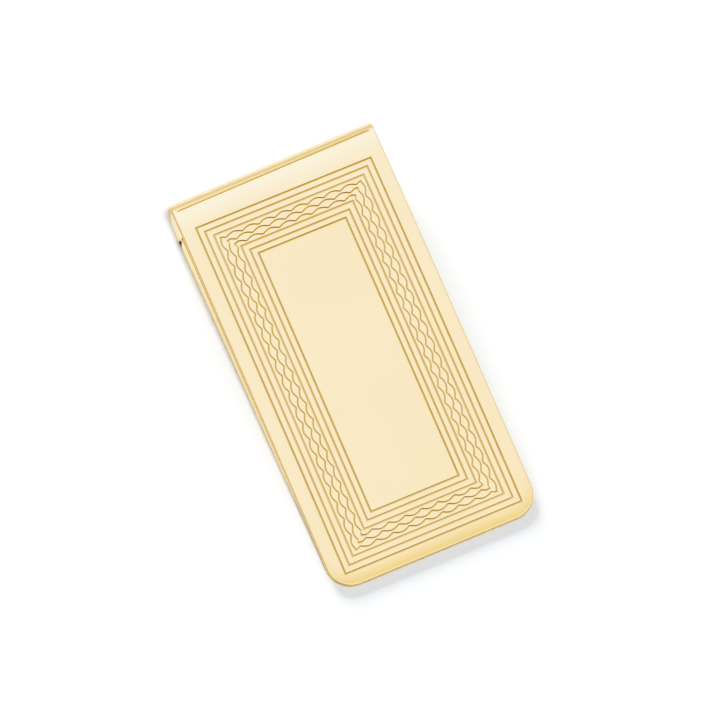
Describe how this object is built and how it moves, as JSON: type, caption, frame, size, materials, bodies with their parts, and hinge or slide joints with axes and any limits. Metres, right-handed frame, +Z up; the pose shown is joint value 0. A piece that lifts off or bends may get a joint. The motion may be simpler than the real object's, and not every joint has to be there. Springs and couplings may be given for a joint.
{
  "type": "money clip",
  "caption": "Hinged, spring-loaded money clip: a rectangular front plate engraved with nested line and wave borders, and a flanged back lever that grips folded notes.",
  "frame": {"origin": "centre of the closed clip's footprint, on the flat surface it lies on, back down", "axes": "+X across the clip, +Y along it towards the hinge, +Z up out of the back, towards the engraved face"},
  "size_m": [0.0254, 0.0489, 0.0073],
  "materials": {
    "front_gold": "polished pale gold plate with engraved lines",
    "lever_gold": "polished pale gold plate",
    "tang_brass": "machined brass",
    "pin_brass": "polished brass",
    "spring_steel": "tempered spring steel",
    "stud_brass": "peened brass"
  },
  "bodies": {
    "plate": {"front_plate": "front_gold", "hinge_pin": "pin_brass", "leaf_spring": "spring_steel", "spring_studs": "stud_brass"},
    "lever": {"back_lever": "lever_gold", "hinge_tang": "tang_brass"}
  },
  "joints": [
    {"name": "lever_hinge", "type": "hinge", "parent": "plate", "child": "lever", "pos_m": [0, 0.02255, 0.0012], "axis": [1, 0, 0], "range_deg": [0, 30], "stiffness_Nm_per_rad": 0.04, "springref_deg": -34.38, "deforming": ["leaf_spring"]}
  ]
}
